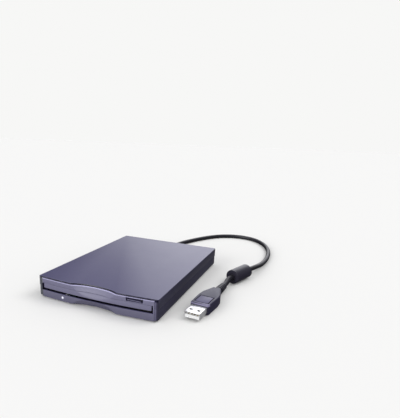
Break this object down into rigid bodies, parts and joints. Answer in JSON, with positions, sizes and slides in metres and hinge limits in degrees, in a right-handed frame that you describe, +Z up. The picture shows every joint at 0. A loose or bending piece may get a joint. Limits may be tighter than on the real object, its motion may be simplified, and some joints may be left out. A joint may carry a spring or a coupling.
{
  "type": "external floppy disk drive",
  "caption": "Slim external floppy disk drive with a bowed front, sprung slot door, eject button and a captive USB lead with ferrite bead and plug.",
  "frame": {"origin": "middle of the case, on the surface that its feet stand on", "axes": "+Z up, -Y the bowed front with the slot, +X the right-hand side seen from the front"},
  "size_m": [0.1529, 0.2595, 0.0175],
  "materials": {
    "case_upper": "satin grey-violet paint film over moulded plastic",
    "case_lower": "dark navy moulded plastic, fine spark texture",
    "bezel": "satin grey-lavender moulded plastic",
    "door": "satin grey-lavender moulded plastic",
    "button": "satin grey-lavender moulded plastic",
    "foot_rubber": "black rubber",
    "screw_steel": "black zinc plated steel",
    "clear_lens": "clear light guide",
    "lamp_body": "clear lamp resin",
    "spring_wire": "spring steel wire",
    "plated_sheet": "zinc plated steel sheet",
    "bright_sheet": "bright nickel plated sheet",
    "turned_steel": "ground steel",
    "green_board": "green solder mask on glass epoxy",
    "copper_winding": "enamelled copper wire",
    "sintered_bronze": "sintered bronze",
    "magnet": "bonded ferrite",
    "carriage_plastic": "black glass-filled plastic",
    "ceramic_head": "polished ceramic",
    "chip_plastic": "black epoxy",
    "switch_plastic": "ivory nylon",
    "ribbon_film": "white flat cable",
    "amber_film": "amber polyimide film",
    "lead_rubber": "black soft moulding",
    "lead_jacket": "black cable jacket",
    "bead_plastic": "black overmoulded bead",
    "plug_plastic": "charcoal overmoulding",
    "plug_metal": "nickel plated steel shell",
    "insert_plastic": "white insert",
    "gold_contact": "gold plated contact"
  },
  "bodies": {
    "case": {"activity_lens": "clear_lens", "board_chips": "chip_plastic", "cable_gland": "lead_rubber", "cable_header": "switch_plastic", "case_screws": "screw_steel", "chassis_cover": "plated_sheet", "cover_screws": "screw_steel", "crystal": "turned_steel", "drive_chassis": "plated_sheet", "drive_screws": "screw_steel", "ferrite_bead": "bead_plastic", "front_bezel": "bezel", "guide_rod": "turned_steel", "led": "lamp_body", "logic_board": "green_board", "lower_shell": "case_lower", "motor_board": "green_board", "plug_contacts": "gold_contact", "plug_housing": "plug_plastic", "plug_insert": "insert_plastic", "plug_shell": "plug_metal", "plug_strain_relief": "lead_rubber", "ribbon_cable": "ribbon_film", "ribbon_connectors": "switch_plastic", "rod_clamp": "spring_wire", "rubber_feet": "foot_rubber", "screw_bearing": "sintered_bronze", "sensor_switches": "switch_plastic", "spindle_bearing": "sintered_bronze", "stator_coils": "copper_winding", "stepper_motor": "bright_sheet", "track_zero_sensor": "chip_plastic", "upper_shell": "case_upper", "usb_board": "green_board", "usb_controller": "chip_plastic", "usb_cord": "lead_jacket", "usb_cord_tail": "lead_jacket"},
    "door": {"slot_door": "door", "door_spring": "spring_wire"},
    "slide": {"eject_slide": "plated_sheet", "eject_button": "button", "eject_springs": "spring_wire"},
    "holder": {"cartridge_holder": "bright_sheet", "lever_pivot": "turned_steel", "lever_spring": "spring_wire"},
    "lever": {"shutter_lever": "bright_sheet"},
    "rotor": {"spindle_shaft": "turned_steel", "rotor_dish": "bright_sheet", "rotor_magnet": "magnet", "hub_magnet": "magnet", "drive_pin": "turned_steel"},
    "carriage": {"head_carriage": "carriage_plastic", "lower_head": "ceramic_head", "head_flex": "amber_film", "arm_springs": "spring_wire"},
    "arm": {"upper_arm": "carriage_plastic", "upper_head": "ceramic_head"},
    "screw": {"lead_screw": "turned_steel"}
  },
  "joints": [
    {"name": "door_hinge", "type": "hinge", "parent": "case", "child": "door", "pos_m": [0, -0.067, 0.0152], "axis": [1, 0, 0], "range_deg": [0, 96], "stiffness_Nm_per_rad": 0.0003, "springref_deg": -28.65},
    {"name": "eject_travel", "type": "slide", "parent": "case", "child": "slide", "axis": [0, -1, 0], "range_m": [0, 0.0045]},
    {"name": "holder_lift", "type": "slide", "parent": "case", "child": "holder", "axis": [0, 0, -1], "range_m": [0, 0.002]},
    {"name": "lever_swing", "type": "hinge", "parent": "holder", "child": "lever", "pos_m": [-0.036, 0.024, 0.0132], "axis": [0, 0, 1], "range_deg": [0, 60], "stiffness_Nm_per_rad": 0.0005, "springref_deg": -17.19},
    {"name": "spindle_spin", "type": "hinge", "parent": "case", "child": "rotor", "pos_m": [0, -0.0175, 0.005], "axis": [0, 0, 1], "continuous": true},
    {"name": "carriage_travel", "type": "slide", "parent": "case", "child": "carriage", "axis": [0, -1, 0], "range_m": [0, 0.0148]},
    {"name": "arm_hinge", "type": "hinge", "parent": "carriage", "child": "arm", "pos_m": [0, 0.05, 0.012], "axis": [1, 0, 0], "range_deg": [0, 7]},
    {"name": "screw_turn", "type": "hinge", "parent": "case", "child": "screw", "pos_m": [-0.024, 0.035, 0.009], "axis": [0, 1, 0], "range_deg": [0, 1777]}
  ],
  "couplings": [
    {"joint": "holder_lift", "follows": "eject_travel", "ratio": 0.44444},
    {"joint": "arm_hinge", "follows": "eject_travel", "rad_per_m": 27.149},
    {"joint": "screw_turn", "follows": "carriage_travel", "rad_per_m": 2094.4}
  ]
}
